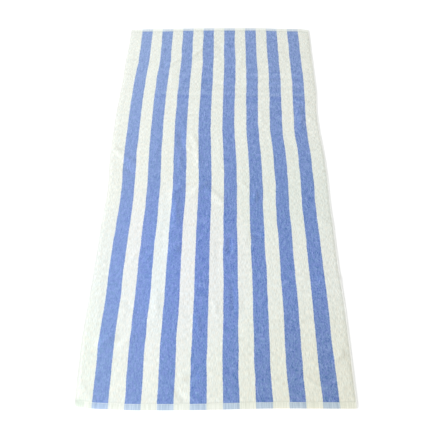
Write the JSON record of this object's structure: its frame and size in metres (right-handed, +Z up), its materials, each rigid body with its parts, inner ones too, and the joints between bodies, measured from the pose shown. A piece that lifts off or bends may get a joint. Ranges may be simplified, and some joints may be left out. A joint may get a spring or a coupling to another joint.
{
  "type": "bath towel",
  "caption": "Oblong terry bath towel with lengthwise stripes, hemmed all round and laid out flat with soft fold creases.",
  "frame": {"origin": "on the surface the towel lies on, under the middle of its outline", "axes": "+Y along the towel towards its far end, +X across it to the right, +Z up out of the surface"},
  "size_m": [0.7722, 1.5428, 0.0052],
  "materials": {
    "terry": "matte cotton loop pile, ivory with blue stripes, and flat-woven hems of paler blue and ivory at the ends"
  },
  "bodies": {
    "root": {"towel": "terry"}
  },
  "joints": []
}
